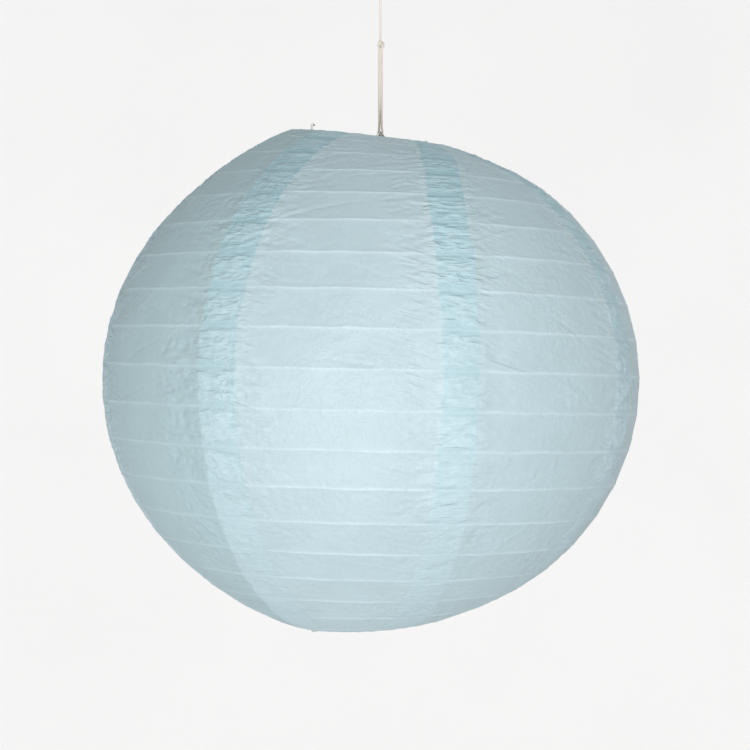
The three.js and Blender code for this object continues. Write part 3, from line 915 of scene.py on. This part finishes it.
def build_sling(finish):
    """The doubled cord that goes down one side of the crown, under it and up the other side."""
    x, y = joint_named("crown_swing")["axis"][:2]
    turned = math.atan2(-x, y)           # the sling's foot lies square to the expander
    knot = make_knot("lower_knot_wound", "lower_knot", "sling", finish)
    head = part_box("lower_knot")[0].z + TUCK
    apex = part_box("crown_sling")[0].z + CORD_DIAMETER / 2
    bottom = [beside_cord(SLING_FOOT * math.cos(a), apex + SLING_FOOT + SLING_FOOT * math.sin(a), turned)
              for a in np.linspace(math.pi, 2 * math.pi, 9)]
    down = [beside_cord(-SLING_SIDE, head - drop, turned * share) for drop, share in
            ((0, 0), (0.02, 0), (0.04, 0.1), (0.055, 0.35), (0.066, 0.7))]
    down.append(beside_cord(-0.0019, apex + 0.0075, turned * 0.95))
    up = [(-x, -y, z) for x, y, z in reversed(down)]
    sling, path = twisted_cord("crown_sling_cord", down + bottom + up, CORD_DIAMETER, finish)
    declare_cord(sling, "sling", "crown_sling")


def build_cords(finish):
    """The cord in its three runs, with a knot at each end of the straight one."""
    build_hanging_loop(finish)
    build_straight_run(finish)
    build_sling(finish)


build_cords(cord_finish())


def build_paper(finish):
    """All the gores, each a sheet over the rib, split at the two planes, with their CAD nodes hidden."""
    for k in range(SEAMS):
        name = f"paper_gore_{k + 1}"
        parts = fold_with_collapse(make_gore(k), name + "_paper", finish, PAPER)
        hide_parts(name)


# ---- wires ----
WELD_DISTANCE = 0.00001


def round_wire(node):
    """Rounds a CAD wire's faceted section without moving it."""
    wire = frame["nodes"][node]
    wire.data.polygons.foreach_set("use_smooth", [True] * len(wire.data.polygons))
    weld = wire.modifiers.new("weld", "WELD")
    weld.merge_threshold = WELD_DISTANCE
    smooth = wire.modifiers.new("smooth", "SUBSURF")
    smooth.levels = smooth.render_levels = 2
    return wire


def finish_wire(node, material):
    """Rounds a CAD wire and gives it its material."""
    wire = round_wire(node)
    wire.data.materials.clear()
    wire.data.materials.append(material)


RIB_END = 0.16        # the rib's ends lie this share of a turn inside the sheet's spiral
RIB_STEPS = 150       # rings of points in each turn
RIB_SIDES = 8


def build_rib(finish):
    """The spiral wire, close under the paper, from rim to rim."""
    turns = np.arange(RIB_END, SPIRAL_TURNS - RIB_END, 1 / RIB_STEPS)
    azimuth = SPIRAL_START + 360 * turns
    path = skin(PITCH * turns, azimuth, -RIB_INSET)
    side, other = frames_along(path)
    angle = np.linspace(0, 2 * np.pi, RIB_SIDES, endpoint=False)
    ring = (path[:, None] + RIB_RADIUS * (np.cos(angle)[:, None] * side[:, None]
                                          + np.sin(angle)[:, None] * other[:, None]))
    rib = mesh_object("spiral_rib_whole", ring.reshape(-1, 3), tube_faces(len(path), RIB_SIDES))
    _, middle, _ = fold_with_collapse(rib, "spiral_rib_wire", finish)
    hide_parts("spiral_rib")


def rib_wire_finish():
    """Thin wire with a dull pale coat."""
    return wire_finish("rib_wire", (0.72, 0.76, 0.76), (0.60, 0.64, 0.63), 0.45, 0.1)


def rim_wire_finish():
    """The rings' bare grey steel."""
    return wire_finish("rim_wire", (0.50, 0.52, 0.49), (0.34, 0.35, 0.31), 0.36, 0.85)


def frame_wire_finish():
    """The expander's steel, a little brighter."""
    return wire_finish("frame_wire", (0.56, 0.60, 0.56), (0.36, 0.38, 0.33), 0.34, 0.85)


def build_wires():
    """The two rims' rings and the expander, which are the CAD model's own."""
    rim, steel = rim_wire_finish(), frame_wire_finish()
    for node in ("top_ring", "bottom_ring"):
        finish_wire(node, rim)
    for node in ("expander_crossbar", "expander_leg_left", "expander_leg_right"):
        finish_wire(node, steel)


build_paper(paper_finish())
build_rib(rib_wire_finish())
build_wires()


# ---- the studio: a round room with a pale floor that sweeps up into its wall ----
ROOM_RADIUS = 5.0
FLOOR = -3.0
SWEEP = 1.2
WALL_TOP = 5.5
GLOW = 0.37           # the room's own light, which keeps it evenly pale
ROOM_SIDES = 96
HUB = 0.01            # the floor's middle face


def studio_finish():
    """Matt pale paint, very slightly mottled."""
    n = Nodes("studio")
    mottle = n.noise(1.5, detail=2)
    white = n.mix(n.spread(mottle, 0.3, 0.7), (0.55, 0.55, 0.55), (0.53, 0.53, 0.53))
    inputs = {"Base Color": white, "Roughness": 0.95, "Specular IOR Level": 0.0,
              "Emission Color": (1.0, 0.99, 0.985, 1), "Emission Strength": GLOW}
    return n.finish(n.add("ShaderNodeBsdfPrincipled", inputs).outputs[0])


def build_studio():
    """The room, as one surface turned round the middle."""
    flat = ROOM_RADIUS - SWEEP
    outline = [(HUB, FLOOR), (flat / 2, FLOOR), (flat, FLOOR)]
    for a in np.linspace(0, math.pi / 2, 13)[1:]:
        outline.append((flat + SWEEP * math.sin(a), FLOOR + SWEEP * (1 - math.cos(a))))
    outline.append((ROOM_RADIUS, WALL_TOP))
    turn = np.linspace(0, 2 * np.pi, ROOM_SIDES, endpoint=False)
    points = [(r * math.cos(t), r * math.sin(t), z) for r, z in outline for t in turn]
    faces = [tuple(f) for f in grid_faces(len(outline), ROOM_SIDES, wrap=True)]
    faces.append(tuple(range(ROOM_SIDES)))
    room = mesh_object("studio", points, faces)
    room.data.materials.append(studio_finish())


def area_light(name, place, size, power):
    """A round white lamp that faces the lantern's middle."""
    data = bpy.data.lights.new(name, "AREA")
    data.shape = "DISK"
    data.size = size
    data.energy = power
    lamp = bpy.data.objects.new(name, data)
    lamp.location = place
    direction = Vector(CENTRE) - Vector(place)
    lamp.rotation_euler = direction.to_track_quat("-Z", "Y").to_euler()
    bpy.context.scene.collection.objects.link(lamp)


SKY_STRENGTH = 0.60


def build_light():
    """An even sky, a low key light in front and a fill from the upper right."""
    world = bpy.data.worlds.new("sky")
    bpy.context.scene.world = world
    world.use_nodes = True
    background = world.node_tree.nodes["Background"]
    background.inputs["Color"].default_value = (1, 1, 1, 1)
    background.inputs["Strength"].default_value = SKY_STRENGTH
    area_light("key", (-0.50, -2.8, -1.35), size=2.4, power=94)
    area_light("fill", (1.6, -2.1, 1.5), size=2.0, power=42)
    bpy.context.scene.view_settings.view_transform = "Standard"


build_studio()
build_light()
